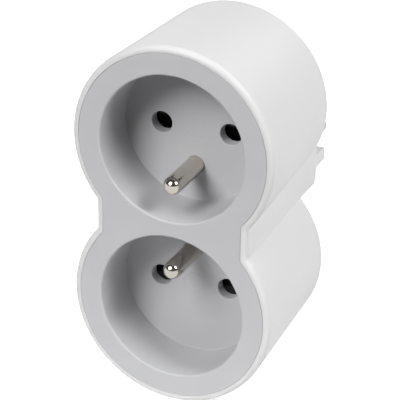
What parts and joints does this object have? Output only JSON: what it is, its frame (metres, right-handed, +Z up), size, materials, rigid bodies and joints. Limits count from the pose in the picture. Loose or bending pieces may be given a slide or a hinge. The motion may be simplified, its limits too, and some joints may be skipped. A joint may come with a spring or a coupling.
{
  "type": "multi socket adapter",
  "caption": "White mains adapter with round socket wells one above the other in a figure-of-eight housing, and a round plug with two pins behind.",
  "frame": {"origin": "centre of the plug's flat face", "axes": "+Y out of the plug's face along its pins, so the sockets face -Y; +Z up along the row of sockets; +X to the right for someone who looks at the sockets"},
  "size_m": [0.0546, 0.08, 0.0982],
  "materials": {
    "white_plastic": "satin",
    "grey_plastic": "fine matt",
    "black_plastic": "matt",
    "nickel": "bright nickel plate",
    "brass": "rolled",
    "spring_steel": "drawn",
    "zinc_steel": "zinc plate"
  },
  "bodies": {
    "adapter": {"housing": "white_plastic", "socket_face": "grey_plastic", "contact_carrier": "black_plastic", "shutter_spring_upper": "spring_steel", "shutter_spring_lower": "spring_steel", "earth_pin_upper": "nickel", "earth_pin_lower": "nickel", "plug_pin_left": "nickel", "plug_pin_right": "nickel", "contact_upper_left": "brass", "contact_upper_right": "brass", "contact_lower_left": "brass", "contact_lower_right": "brass", "left_strip": "brass", "right_strip": "brass", "earth_strip": "brass", "plug_earth_contact": "brass", "contact_rivets": "brass", "earth_rivet": "brass", "housing_screws": "zinc_steel", "carrier_screws": "zinc_steel"},
    "shutter_upper": {"shutter_upper": "black_plastic"},
    "shutter_lower": {"shutter_lower": "black_plastic"}
  },
  "joints": [
    {"name": "shutter_upper_slide", "type": "slide", "parent": "adapter", "child": "shutter_upper", "axis": [0, 0, 1], "range_m": [0, 0.006], "stiffness_N_per_m": 100, "springref_m": -0.003, "deforming": ["shutter_spring_upper"]},
    {"name": "shutter_lower_slide", "type": "slide", "parent": "adapter", "child": "shutter_lower", "axis": [0, 0, -1], "range_m": [0, 0.006], "stiffness_N_per_m": 100, "springref_m": -0.003, "deforming": ["shutter_spring_lower"]}
  ]
}
